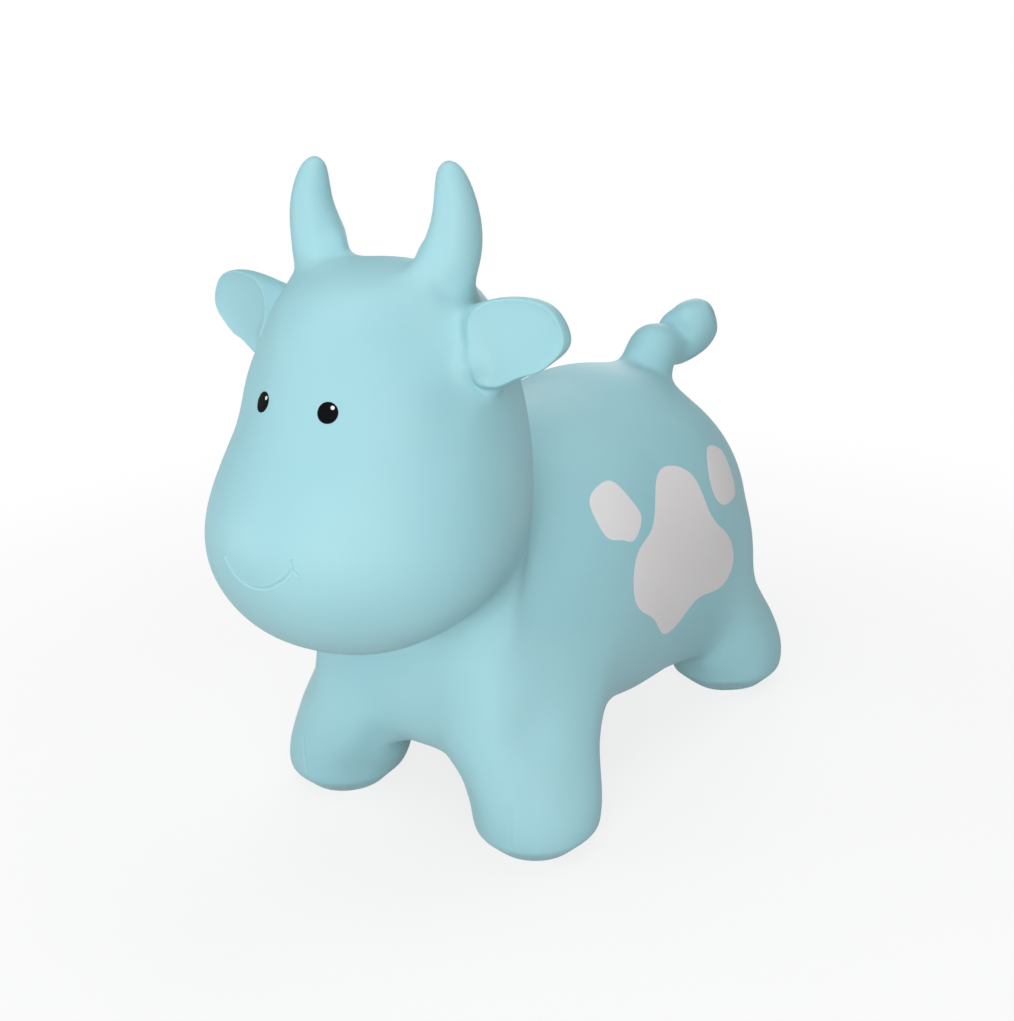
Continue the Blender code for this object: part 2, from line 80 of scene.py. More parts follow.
# Soft drags that finish the moulded form, as a point, its move and the drag's reach: these on both sides
DRAGS = {
    "inner side of a front leg": ((0.043, -0.139, 0.050), (-0.0060, -0.0030, 0.0000), 0.035),
    "inner back of a front leg": ((0.050, -0.112, 0.045), (-0.0060, 0.0000, 0.0000), 0.045),
    "outer side of a front foot": ((0.142, -0.112, 0.034), (0.0025, 0.0012, 0.0000), 0.050),
    "outer side of a front leg": ((0.112, -0.157, 0.108), (-0.0040, 0.0010, 0.0000), 0.035),
    "belly behind a front leg": ((0.107, -0.030, 0.075), (0.0000, 0.0000, 0.0040), 0.050),
    "belly before a hind leg": ((0.105, 0.105, 0.060), (0.0000, 0.0000, -0.0045), 0.050),
    "fold before a hind leg": ((0.107, 0.147, 0.058), (0.0000, -0.0085, -0.0060), 0.050),
    "inner front of a hind foot": ((0.080, 0.163, 0.018), (-0.0040, -0.0060, 0.0000), 0.035),
    "front of a hind foot": ((0.107, 0.162, 0.010), (0.0000, -0.0040, 0.0000), 0.030),
    "outer side of a hind foot": ((0.154, 0.213, 0.045), (0.0010, 0.0046, 0.0000), 0.045),
    "thigh": ((0.132, 0.219, 0.105), (-0.0050, -0.0020, 0.0000), 0.040),
    "hip": ((0.129, 0.188, 0.160), (0.0040, 0.0010, 0.0000), 0.045),
    "back": ((0.035, 0.122, 0.311), (0.0000, 0.0000, 0.0040), 0.070),
    "temple": ((0.070, -0.233, 0.385), (0.0040, -0.0020, 0.0000), 0.045),
    "head between horn and ear": ((0.072, -0.180, 0.448), (-0.0035, 0.0000, -0.0025), 0.020),
    "inner root of a horn": ((0.042, -0.163, 0.466), (-0.0035, 0.0000, 0.0020), 0.018),
    "lower root of an ear": ((0.108, -0.188, 0.388), (-0.0090, -0.0020, -0.0020), 0.018),
    "fold before an ear": ((0.092, -0.186, 0.400), (0.0000, -0.0050, 0.0000), 0.018),
    "lower edge of an ear": ((0.127, -0.185, 0.390), (0.0000, 0.0000, 0.0035), 0.018),
    "tip of an ear": ((0.155, -0.168, 0.420), (0.0030, 0.0000, -0.0010), 0.020),
}
# and these once
SINGLE_DRAGS = {
    "inner front of the left front leg": ((0.052, -0.178, 0.056), (0.0075, 0.0025, 0.0000), 0.045),
    "inner fold of the right front leg": ((-0.044, -0.139, 0.052), (0.0000, -0.0070, 0.0030), 0.040),
    "fold of the arch at the right front leg": ((-0.028, -0.152, 0.060), (0.0000, -0.0030, -0.0045), 0.025),
    "arch between the front legs": ((0.000, -0.155, 0.066), (0.0000, 0.0000, -0.0025), 0.045),
    "first bend of the tail": ((-0.004, 0.276, 0.327), (-0.0040, 0.0000, 0.0025), 0.020),
    "tip of the tail": ((0.041, 0.306, 0.337), (-0.0040, 0.0000, -0.0010), 0.022),
}

# Pressed lines: steps between knots, growth of the wider bands, and place and spread of the lips in widths
LINE_STEPS = 12
BAND_GROWTH = 0.6
LIP_PLACE = 2.2
LIP_SPREAD = 0.8

# Smile, pressed into the muzzle, with a short tick at each end that is fainter on the right
SMILE = (
    (-0.0325, -0.3140, 0.2815),
    (-0.0260, -0.3155, 0.2735),
    (-0.0145, -0.3170, 0.2665),
    (-0.0015, -0.3175, 0.2650),
    (0.0115, -0.3175, 0.2680),
    (0.0230, -0.3160, 0.2755),
    (0.0295, -0.3145, 0.2825),
)
SMILE_TICK = (
    (0.0290, -0.3133, 0.2896),
    (0.0292, -0.3136, 0.2866),
    (0.0305, -0.3139, 0.2832),
    (0.0340, -0.3133, 0.2800),
)
SMILE_DEPTH = 0.0009
FAINT_TICK_DEPTH = 0.0003
SMILE_WIDTH = 0.0008
SMILE_LIP = 0.22
SMILE_BAND = 0.0035
SMILE_SPLITS = 3

# Toe clefts, pressed into the front of the front feet
LEFT_CLEFT = (
    (0.1065, -0.1830, 0.0550),
    (0.1073, -0.1850, 0.0420),
    (0.1072, -0.1856, 0.0280),
    (0.1068, -0.1855, 0.0200),
)
RIGHT_CLEFT = (
    (-0.1024, -0.1845, 0.0560),
    (-0.1012, -0.1863, 0.0460),
    (-0.1008, -0.1870, 0.0340),
    (-0.1010, -0.1868, 0.0230),
)
CLEFT_DEPTH = 0.0006
CLEFT_WIDTH = 0.0012
CLEFT_LIP = 0.25
CLEFT_BAND = 0.0050
CLEFT_SPLITS = 2

# Prints, as films of the skin's own surface
PRINT_LIFT = 0.00006
PRINT_THICKNESS = 0.00010
PRINT_MARGIN = 0.004

# Eyes
EYE_SPREAD = 0.0292
EYE_HEIGHT = 0.3784
EYE_RADIUS = 0.0074
EYE_FACETS = 96
EYE_CUTTER_DEPTH = 0.02
GLINT_RADIUS = 0.0014
GLINT_RISE = 0.0035
GLINT_SHIFT = 0.0033

# Outlines of the flank patches as control points, along the body and up
FLANK_REACH = 0.170
PATCH_LEVELS = 4
PATCHES = {
    "front": (
        (-0.015, 0.269), (-0.036, 0.266), (-0.050, 0.259), (-0.050, 0.243), (-0.047, 0.227),
        (-0.029, 0.225), (-0.019, 0.216), (0.004, 0.233), (0.000, 0.242), (-0.008, 0.261),
    ),
    "main": (
        (0.072, 0.258), (0.045, 0.259), (0.025, 0.238), (0.009, 0.217), (-0.019, 0.214),
        (-0.032, 0.183), (-0.025, 0.160), (0.002, 0.148), (0.016, 0.118), (0.044, 0.123),
        (0.070, 0.139), (0.093, 0.134), (0.122, 0.129), (0.147, 0.149), (0.135, 0.177),
        (0.111, 0.192), (0.097, 0.213), (0.099, 0.243),
    ),
    "rear": (
        (0.148, 0.254), (0.135, 0.251), (0.118, 0.235), (0.115, 0.215), (0.131, 0.202),
        (0.153, 0.203), (0.170, 0.201), (0.173, 0.231), (0.176, 0.242),
    ),
}

# Air valve on the rump
VALVE_HEIGHT = 0.190
SEAT_RADIUS = 0.0078
SEAT_DEPTH = 0.0020
SEAT_CHAMFER = 0.0006
SEAT_CHAMFER_HEIGHT = 0.0004
SEAT_CLEARANCE = 0.0004
BORE_RADIUS = 0.0045
BORE_DEPTH = 0.0220
VALVE_CUTTER_RISE = 0.0040
TURNED_FACETS = 64

# Air plug from its tip out to the shallow dish of its head, as radii and heights over the skin
PLUG_RISE = 0.0003
PLUG_PROFILE = (
    (0.0022, -0.0185), (0.0027, -0.0181), (0.0036, -0.0155), (0.0036, -0.0122), (0.0042, -0.0108),
    (0.0036, -0.0107), (0.0036, -0.0087), (0.0042, -0.0073), (0.0036, -0.0072), (0.0036, -0.0052),
    (0.0042, -0.0038), (0.0036, -0.0037), (0.0036, -0.0017), (0.0075, -0.0017), (0.0075, -0.0003),
    (0.0071, 0.0001), (0.0066, 0.0003), (0.0060, 0.0002), (0.0048, -0.0002), (0.0015, -0.0004),
)
PLUG_BEVEL = 0.00012
PLUG_BEVEL_SEGMENTS = 2
PLUG_BEVEL_ANGLE = math.radians(40)
PLUG_SHADE_ANGLE = math.radians(35)

# Colours
AQUA = ((0.360, 0.665, 0.730, 1), (0.390, 0.695, 0.755, 1))
DUST = (0.33, 0.50, 0.53, 1)
SCUFF = (0.20, 0.33, 0.36, 1)
DUST_REACH = 0.035
DUST_SHARE = 0.25
SCUFF_SHARE = 0.20
PATCH_WHITE = ((0.86, 0.84, 0.845, 1), (0.89, 0.87, 0.875, 1))
EYE_BLACK = ((0.004, 0.004, 0.005, 1), (0.007, 0.007, 0.008, 1))
SPOT_WHITE = ((0.88, 0.88, 0.88, 1), (0.92, 0.92, 0.92, 1))
MILKY = ((0.76, 0.77, 0.76, 1), (0.82, 0.83, 0.82, 1))

# Floor
FLOOR_SIZE = 60
FLOOR_DROP = 0.0002
FLOOR_BOUNCE = (0.25, 0.245, 0.24, 1)
FLOOR_PALE = (0.9, 0.9, 0.9, 1)
FLOOR_NEAR = 0.35
FLOOR_FAR = 1.10
FLOOR_NEAR_GLOW = 0.80
WHITE = (1, 1, 1, 1)

# Light, as place, width and power of each lamp
WORLD_TINT = (0.96, 0.98, 1.0, 1)
WORLD_STRENGTH = 0.17
LAMP_AIM = (0, 0, 0.25)
LAMPS = {
    "front_light": ((0.57, -2.10, 0.48), 0.9, 9.5),
    "key_light": ((1.19, -1.69, 1.00), 1.4, 13.5),
    "right_light": ((1.90, -1.10, 0.42), 0.8, 9.5),
    "left_light": ((-1.55, -1.55, 0.42), 0.8, 11.5),
    "upper_light": ((-0.50, -0.60, 2.30), 1.4, 13.5),
    "back_light": ((0.40, 0.80, 2.25), 1.6, 9.5),
    "rear_light": ((-0.80, 2.00, 0.90), 1.2, 9),
}

# Camera, at the photograph's place and angle
CAMERA_PLACE = (0.607956, -0.901992, 0.618997)
CAMERA_TURN = math.radians(34.5256)
CAMERA_DIP = math.radians(20.2080)
CAMERA_ROLL = math.radians(-2)
CAMERA_LENS = 47.4108
SENSOR_WIDTH = 36
CLIP_START = 0.01


def only(piece):
    """Selects one piece and nothing else."""
    bpy.ops.object.select_all(action="DESELECT")
    piece.select_set(True)
    bpy.context.view_layer.objects.active = piece


def open_edit(piece, kind):
    """Opens a piece in edit mode, for points, edges or faces, with nothing selected."""
    only(piece)
    bpy.ops.object.mode_set(mode="EDIT")
    bpy.ops.mesh.select_mode(type=kind)
    bpy.ops.mesh.select_all(action="DESELECT")


def open_whole(piece):
    """Opens a piece in edit mode with everything selected."""
    only(piece)
    bpy.ops.object.mode_set(mode="EDIT")
    bpy.ops.mesh.select_all(action="SELECT")


def leave_edit():
    bpy.ops.object.mode_set(mode="OBJECT")


def select_faces(piece, chosen):
    """Opens a piece in edit mode with just the chosen faces selected."""
    open_edit(piece, "FACE")
    leave_edit()
    piece.data.polygons.foreach_set("select", np.asarray(chosen, bool))
    bpy.ops.object.mode_set(mode="EDIT")


def select_edges(piece, chosen):
    """Opens a piece in edit mode with just the chosen edges selected."""
    open_edit(piece, "EDGE")
    leave_edit()
    piece.data.edges.foreach_set("select", np.asarray(chosen, bool))
    bpy.ops.object.mode_set(mode="EDIT")


def select_point(piece, number):
    """Opens a piece in edit mode with just one point selected."""
    open_edit(piece, "VERT")
    leave_edit()
    piece.data.vertices[int(number)].select = True
    bpy.ops.object.mode_set(mode="EDIT")


def apply_modifier(piece, modifier):
    only(piece)
    bpy.ops.object.modifier_apply(modifier=modifier.name)


def apply_rounding(piece, levels):
    """Rounds a piece with a subdivision surface."""
    rounding = piece.modifiers.new("rounding", "SUBSURF")
    rounding.levels = levels
    rounding.render_levels = levels
    apply_modifier(piece, rounding)


def points_of(piece):
    places = np.empty(len(piece.data.vertices) * 3)
    piece.data.vertices.foreach_get("co", places)
    return places.reshape(-1, 3)


def centres_of(piece):
    places = np.empty(len(piece.data.polygons) * 3)
    piece.data.polygons.foreach_get("center", places)
    return places.reshape(-1, 3)


def normals_of(piece):
    normals = np.empty(len(piece.data.vertices) * 3)
    piece.data.vertex_normals.foreach_get("vector", normals)
    return normals.reshape(-1, 3)


def copy_of(source, name):
    """A new piece with a copy of another's mesh and no material."""
    piece = bpy.data.objects.new(name, source.data.copy())
    piece.data.name = name
    piece.data.materials.clear()
    bpy.context.scene.collection.objects.link(piece)
    return piece


def smooth_line(knots):
    """A smooth line through knots, as many short steps."""
    ends = np.array([knots[0], *knots, knots[-1]], float)
    line = []
    for place in range(1, len(ends) - 2):
        before, start, end, after = ends[place - 1 : place + 3]
        for share in np.arange(LINE_STEPS) / LINE_STEPS:
            line.append(
                0.5
                * (
                    2 * start
                    + (end - before) * share
                    + (2 * before - 5 * start + 4 * end - after) * share**2
                    + (3 * start - before - 3 * end + after) * share**3
                )
            )
    return np.array([*line, ends[-2]])


def lay_on(piece, knots):
    """A smooth line through knots, moved onto a piece's surface."""
    return np.array([piece.closest_point_on_mesh(Vector(place))[1] for place in smooth_line(knots)])


def distance_to(line, places):
    """How far each place is from a line of short steps."""
    nearest = np.full(len(places), np.inf)
    for start, end in zip(line[:-1], line[1:]):
        step = end - start
        share = np.clip((places - start) @ step / (step @ step), 0, 1)
        gap = np.linalg.norm(places - start - share[:, None] * step, axis=1)
        nearest = np.minimum(nearest, gap)
    return nearest


def drag(piece, place, move, reach):
    """Drags a piece softly by its point nearest a place."""
    select_point(piece, ((points_of(piece) - place) ** 2).sum(1).argmin())
    bpy.ops.transform.translate(
        value=move,
        use_proportional_edit=True,
        use_proportional_connected=True,
        proportional_edit_falloff="SMOOTH",
        proportional_size=reach,
    )
    leave_edit()


def refine_along(piece, lines, band, splits):
    """Splits the faces along lines more finely, in narrowing bands."""
    for wider in reversed(range(splits)):
        centres = centres_of(piece)
        near = np.zeros(len(centres), bool)
        for line in lines:
            near |= distance_to(line, centres) < band * (1 + wider * BAND_GROWTH)
        select_faces(piece, near)
        bpy.ops.mesh.subdivide(number_cuts=1, smoothness=0, ngon=True)
        leave_edit()


def press_lines(piece, lines, depths, width, lip):
    """Presses grooves with softly raised lips along lines, all in one stroke."""
    places = points_of(piece)
    sunk = np.zeros(len(places))
    raised = np.zeros(len(places))
    for line, depth in zip(lines, depths):
        gap = distance_to(line, places) / width
        sunk = np.maximum(sunk, depth * np.exp(-(gap**2)))
        raised = np.maximum(raised, depth * lip * np.exp(-((gap - LIP_PLACE) ** 2) / LIP_SPREAD))
    rise = raised * (1 - sunk / max(depths)) - sunk
    places += normals_of(piece) * rise[:, None]
    piece.data.vertices.foreach_set("co", places.ravel())
    piece.data.update()


def valve_place():
    """Where the plug's axis meets the skin."""
    return Vector((0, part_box("valve_plug")[1].y - PLUG_RISE, VALVE_HEIGHT))


def copy_skin():
    """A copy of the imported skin, its loose triangles merged."""
    skin = copy_of(frame["nodes"]["skin"], "vinyl_skin")
    open_whole(skin)
    bpy.ops.mesh.remove_doubles(threshold=MERGE_DISTANCE)
    leave_edit()
    return skin


def open_shell(skin):
    """Takes the air space and the valve off the copy of the skin, and closes the rump over the valve."""
    valve = np.array(valve_place())
    places = points_of(skin)
    off_axis = np.hypot(places[:, 0] - valve[0], places[:, 2] - valve[2])
    inside = (off_axis < SEAT_RADIUS + SEAT_CLEARANCE) & (places[:, 1] > 0)
    select_faces(skin, [inside[list(face.vertices)].any() for face in skin.data.polygons])
    bpy.ops.mesh.delete(type="FACE")
    leave_edit()
    select_point(skin, points_of(skin)[:, 2].argmax())
    bpy.ops.mesh.select_linked()
    bpy.ops.mesh.select_all(action="INVERT")
    bpy.ops.mesh.delete(type="VERT")
    bpy.ops.mesh.select_mode(type="EDGE")
    bpy.ops.mesh.select_non_manifold(extend=False)
    bpy.ops.mesh.edge_face_add()
    bpy.ops.mesh.select_mode(type="FACE")
    bpy.ops.mesh.poke()
    leave_edit()
    middle = int(((points_of(skin) - valve) ** 2).sum(1).argmin())
    skin.data.vertices[middle].co = valve


def flat_soles(skin):
    """Which faces lie flat on the floor."""
    low = points_of(skin)[:, 2] < LEVEL_SLACK
    return [low[list(face.vertices)].all() for face in skin.data.polygons]


def even_soles(skin):
    """Makes each flat sole one face with even borders."""
    select_faces(skin, flat_soles(skin))
    bpy.ops.mesh.dissolve_faces()
    bpy.ops.mesh.inset(thickness=SOLE_BORDER)
    bpy.ops.mesh.inset(thickness=2 * SOLE_BORDER)
    leave_edit()


def pair_triangles(skin):
    """Joins the skin's triangles in pairs."""
    open_whole(skin)
    bpy.ops.mesh.tris_convert_to_quads(face_threshold=QUAD_ANGLE, shape_threshold=QUAD_ANGLE)
    bpy.ops.mesh.normals_make_consistent(inside=False)
    leave_edit()


def crease_soles(skin):
    """Keeps the edges of the soles and the rims over them crisp."""
    select_faces(skin, flat_soles(skin))
    bpy.ops.mesh.region_to_loop()
    bpy.ops.transform.edge_crease(value=SOLE_CREASE)
    leave_edit()
    level = np.abs(points_of(skin)[:, 2] - RIM_HEIGHT) < LEVEL_SLACK
    select_edges(skin, [level[list(edge.vertices)].all() for edge in skin.data.edges])
    bpy.ops.transform.edge_crease(value=RIM_CREASE)
    leave_edit()


def round_skin(skin):
    """Rounds the skin, with crisp soles."""
    even_soles(skin)
    pair_triangles(skin)
    crease_soles(skin)
    apply_rounding(skin, ROUNDING_LEVELS)
    bpy.ops.object.shade_smooth()


def finish_form(skin):
    """Drags the legs, belly, head, ears and tail to their last shape."""
    for (x, y, z), (across, along, up), reach in DRAGS.values():
        for side in SIDES.values():
            drag(skin, (side * x, y, z), (side * across, along, up), reach)
    for place, move, reach in SINGLE_DRAGS.values():
        drag(skin, place, move, reach)


def press_details(skin):
    """Presses the smile and the toe clefts into the skin."""
    faint_tick = [(-x, y, z) for x, y, z in SMILE_TICK]
    smile = [lay_on(skin, knots) for knots in (SMILE, SMILE_TICK, faint_tick)]
    refine_along(skin, smile, SMILE_BAND, SMILE_SPLITS)
    press_lines(skin, smile, (SMILE_DEPTH, SMILE_DEPTH, FAINT_TICK_DEPTH), SMILE_WIDTH, SMILE_LIP)
    clefts = [lay_on(skin, knots) for knots in (LEFT_CLEFT, RIGHT_CLEFT)]
    refine_along(skin, clefts, CLEFT_BAND, CLEFT_SPLITS)
    press_lines(skin, clefts, (CLEFT_DEPTH, CLEFT_DEPTH), CLEFT_WIDTH, CLEFT_LIP)


def selected_height(piece):
    """The height of the faces that are selected."""
    piece.update_from_editmode()
    chosen = [point.co.z for point in piece.data.vertices if point.select]
    return sum(chosen) / len(chosen)


def turned_piece(name, profile):
    """A closed piece turned about the valve's axis from radii and heights over the skin."""
    bpy.ops.object.select_all(action="DESELECT")
    first_radius, first_height = profile[0]
    bpy.ops.mesh.primitive_circle_add(
        vertices=TURNED_FACETS, radius=first_radius, fill_type="NGON", location=(0, 0, 0)
    )
    piece = bpy.context.object
    piece.name = name
    bpy.ops.object.mode_set(mode="EDIT")
    bpy.ops.mesh.select_all(action="SELECT")
    bpy.ops.transform.translate(value=(0, 0, first_height))
    for (before, _), (radius, height) in zip(profile[:-1], profile[1:]):
        bpy.ops.mesh.extrude_region_move()
        middle = selected_height(piece)
        share = radius / before
        bpy.ops.transform.resize(value=(share, share, 1), center_override=(0, 0, middle))
        bpy.ops.transform.translate(value=(0, 0, height - middle))
    bpy.ops.mesh.select_all(action="SELECT")
    bpy.ops.mesh.normals_make_consistent(inside=False)
    leave_edit()
    piece.data.transform(Matrix.Translation(valve_place()) @ Matrix.Rotation(-math.pi / 2, 4, "X"))
    return piece


def cut_away(piece, cutter, operation):
    """Cuts a piece with a cutter and removes the cutter."""
    cut = piece.modifiers.new("cut", "BOOLEAN")
    cut.operation = operation
    cut.object = cutter
    cut.solver = "EXACT"
    apply_modifier(piece, cut)
    bpy.data.objects.remove(cutter, do_unlink=True)


def seat_valve(skin):
    """Sinks the plug's seat and bore into the rump."""
    profile = (
        (SEAT_RADIUS + SEAT_CHAMFER, VALVE_CUTTER_RISE),
        (SEAT_RADIUS + SEAT_CHAMFER, SEAT_CHAMFER_HEIGHT),
        (SEAT_RADIUS, -SEAT_CHAMFER_HEIGHT),
        (SEAT_RADIUS, -SEAT_DEPTH),
        (BORE_RADIUS, -SEAT_DEPTH),
        (BORE_RADIUS, -BORE_DEPTH),
    )
    cut_away(skin, turned_piece("valve_cutter", profile), "DIFFERENCE")


def make_plug():
    """The air plug, turned and with its edges softened."""
    plug = turned_piece("air_plug", PLUG_PROFILE)
    edges = plug.modifiers.new("edges", "BEVEL")
    edges.width = PLUG_BEVEL
    edges.segments = PLUG_BEVEL_SEGMENTS
    edges.limit_method = "ANGLE"
    edges.angle_limit = PLUG_BEVEL_ANGLE
    apply_modifier(plug, edges)
    bpy.ops.object.shade_smooth_by_angle(angle=PLUG_SHADE_ANGLE)
    return plug


def flank_prism(name, outline, side):
    """A patch's smooth outline carried out through one flank."""
    bpy.ops.object.select_all(action="DESELECT")
    bpy.ops.mesh.primitive_circle_add(
        vertices=len(outline), radius=FLANK_REACH, fill_type="NOTHING", location=(0, 0, 0)
    )
    prism = bpy.context.object
    prism.name = name
    for point, (y, z) in zip(prism.data.vertices, outline):
        point.co = (0, y, z)
    apply_rounding(prism, PATCH_LEVELS)
    open_whole(prism)
    bpy.ops.mesh.edge_face_add()
    bpy.ops.mesh.extrude_region_move(TRANSFORM_OT_translate={"value": (side * FLANK_REACH, 0, 0)})
    bpy.ops.mesh.select_all(action="SELECT")
    bpy.ops.mesh.normals_make_consistent(inside=False)
    leave_edit()
    return prism


def disc_cutter(name, radius, place, turned):
    """A round cutter that stands on the skin."""
    bpy.ops.object.select_all(action="DESELECT")
    bpy.ops.mesh.primitive_cylinder_add(
        vertices=EYE_FACETS, radius=radius, depth=EYE_CUTTER_DEPTH, location=(0, 0, 0)
    )
    disc = bpy.context.object
    disc.name = name
    disc.data.transform(Matrix.Translation(place) @ turned)
    return disc


def print_on(skin, name, cutter, lift):
    """A thin film of the skin's own surface, within a cutter."""
    reach = points_of(cutter)
    low, high = reach.min(0) - PRINT_MARGIN, reach.max(0) + PRINT_MARGIN
    film = copy_of(skin, name)
    centres = centres_of(film)
    select_faces(film, ~((centres > low) & (centres < high)).all(1))
    bpy.ops.mesh.delete(type="FACE")
    leave_edit()
    raise_film = film.modifiers.new("raise", "DISPLACE")
    raise_film.mid_level = 0
    raise_film.strength = lift
    apply_modifier(film, raise_film)
    thick = film.modifiers.new("thick", "SOLIDIFY")
    thick.thickness = PRINT_THICKNESS
    thick.offset = 1
    apply_modifier(film, thick)
    cut_away(film, cutter, "INTERSECT")
    return film


def make_eye(skin, word, side):
    """The black print of an eye and the white spot in it."""
    start = Vector((side * EYE_SPREAD, -1, EYE_HEIGHT))
    _, place, normal, _ = skin.ray_cast(start, Vector((0, 1, 0)))
    right = Vector((0, 0, 1)).cross(normal).normalized()
    above = normal.cross(right)
    turned = Matrix((right, above, normal)).transposed().to_4x4()
    eye_cutter = disc_cutter("eye_cutter", EYE_RADIUS, place, turned)
    eye = print_on(skin, "eye_print_" + word, eye_cutter, PRINT_LIFT)
    spot_place = place + right * GLINT_SHIFT + above * GLINT_RISE
    spot_cutter = disc_cutter("spot_cutter", GLINT_RADIUS, spot_place, turned)
    spot = print_on(skin, "eye_spot_" + word, spot_cutter, 2 * PRINT_LIFT + PRINT_THICKNESS)
    return eye, spot


def new_material(name):
    """A new material with its nodes, their links and its shader."""
    made = bpy.data.materials.new(name)
    made.use_nodes = True
    return made, made.node_tree.nodes, made.node_tree.links, made.node_tree.nodes["Principled BSDF"]


def new_group(name, inputs, outputs):
    """An empty node group with its sockets, as name, kind and, for inputs, first value."""
    group = bpy.data.node_groups.new(name, "ShaderNodeTree")
    for socket, kind, value in inputs:
        made = group.interface.new_socket(socket, in_out="INPUT", socket_type=kind)
        if value is not None:
            made.default_value = value
    for socket, kind in outputs:
        group.interface.new_socket(socket, in_out="OUTPUT", socket_type=kind)
    entry = group.nodes.new("NodeGroupInput")
    leave = group.nodes.new("NodeGroupOutput")
    return group, group.nodes, group.links, entry, leave


def mix_colour(nodes, links, share, first, second):
    """A colour mix between two sockets or plain colours."""
    mix = nodes.new("ShaderNodeMix")
    mix.data_type = "RGBA"
    links.new(share, mix.inputs["Factor"])
    for socket, colour in ((mix.inputs[6], first), (mix.inputs[7], second)):
        if isinstance(colour, tuple):
            socket.default_value = colour
        else:
            links.new(colour, socket)
    return mix.outputs[2]


def mix_shader(nodes, links, share, first, second):
    """A mix between two shaders."""
    mix = nodes.new("ShaderNodeMixShader")
    links.new(share, mix.inputs["Fac"])
    links.new(first, mix.inputs[1])
    links.new(second, mix.inputs[2])
    return mix.outputs["Shader"]


def noise(nodes, links, place, scale, detail, roughness=0.5):
    made = nodes.new("ShaderNodeTexNoise")
    made.inputs["Scale"].default_value = scale
    made.inputs["Detail"].default_value = detail
    made.inputs["Roughness"].default_value = roughness
    links.new(place, made.inputs["Vector"])
    return made


def stretch(nodes, links, value, start=(0, 1), end=(0, 1), kind="LINEAR"):
    """A value carried from one range to another."""
    made = nodes.new("ShaderNodeMapRange")
    made.interpolation_type = kind
    for name, limit in zip(("From Min", "From Max", "To Min", "To Max"), (*start, *end)):
        made.inputs[name].default_value = limit
    links.new(value, made.inputs["Value"])
    return made.outputs["Result"]


def combine(nodes, links, operation, first, second):
    made = nodes.new("ShaderNodeMath")
    made.operation = operation
    for socket, value in zip(made.inputs, (first, second)):
        if isinstance(value, (int, float)):
            socket.default_value = value
        else:
            links.new(value, socket)
    return made.outputs["Value"]


def moulded_grain_group():
    """The faint orange peel of moulded vinyl and a slow drift of tone over it."""
    group, nodes, links, entry, leave = new_group(
        "moulded_grain",
        [("Place", "NodeSocketVector", None), ("Peel Scale", "NodeSocketFloat", 260.0)],
        [("Height", "NodeSocketFloat"), ("Drift", "NodeSocketFloat")],
    )
    place = entry.outputs["Place"]
    peel = noise(nodes, links, place, scale=1, detail=3)
    links.new(entry.outputs["Peel Scale"], peel.inputs["Scale"])
    links.new(peel.outputs["Fac"], leave.inputs["Height"])
    slow = noise(nodes, links, place, scale=7, detail=3).outputs["Fac"]
    links.new(stretch(nodes, links, slow, start=(0.35, 0.65), kind="SMOOTHSTEP"), leave.inputs["Drift"])
    return group


def floor_dust_group():
    """Dust and scuffs that gather on the lowest few centimetres."""
    group, nodes, links, entry, leave = new_group(
        "floor_dust",
        [("Place", "NodeSocketVector", None), ("Reach", "NodeSocketFloat", 0.05)],
        [("Dust", "NodeSocketFloat"), ("Scuff", "NodeSocketFloat")],
    )
    place = entry.outputs["Place"]
    split = nodes.new("ShaderNodeSeparateXYZ")
    links.new(place, split.inputs["Vector"])
    share = combine(nodes, links, "DIVIDE", split.outputs["Z"], entry.outputs["Reach"])
    low = stretch(nodes, links, combine(nodes, links, "SUBTRACT", 1.0, share), kind="SMOOTHSTEP")
    cloud = noise(nodes, links, place, scale=45, detail=5, roughness=0.65).outputs["Fac"]
    cloud = stretch(nodes, links, cloud, start=(0.40, 0.75), kind="SMOOTHSTEP")
    links.new(combine(nodes, links, "MULTIPLY", low, cloud), leave.inputs["Dust"])
    streak = noise(nodes, links, place, scale=160, detail=2, roughness=0.7).outputs["Fac"]
    streak = stretch(nodes, links, streak, start=(0.60, 0.72), kind="SMOOTHSTEP")
    links.new(combine(nodes, links, "MULTIPLY", low, streak), leave.inputs["Scuff"])
    return group


def place_group(nodes, links, group, values):
    """A group placed in a material, on the piece's own coordinates."""
    made = nodes.new("ShaderNodeGroup")
    made.node_tree = group
    where = nodes.new("ShaderNodeTexCoord")
    links.new(where.outputs["Object"], made.inputs["Place"])
    for name, value in values.items():
        made.inputs[name].default_value = value
    return made


def bump(nodes, links, height, strength, distance, shader):
    made = nodes.new("ShaderNodeBump")
    made.inputs["Strength"].default_value = strength
    made.inputs["Distance"].default_value = distance
    links.new(height, made.inputs["Height"])
    links.new(made.outputs["Normal"], shader.inputs["Normal"])


def grained_material(name, grain, tones, scale, roughness, specular, strength, distance):
    """A material whose tone drifts between two tones and whose roughness and relief follow its grain."""
    made, nodes, links, shader = new_material(name)
    peel = place_group(nodes, links, grain, {"Peel Scale": scale})
    links.new(mix_colour(nodes, links, peel.outputs["Drift"], *tones), shader.inputs["Base Color"])
    rough = stretch(nodes, links, peel.outputs["Height"], end=roughness)
    links.new(rough, shader.inputs["Roughness"])
    shader.inputs["Specular IOR Level"].default_value = specular
    bump(nodes, links, peel.outputs["Height"], strength, distance, shader)
    return made


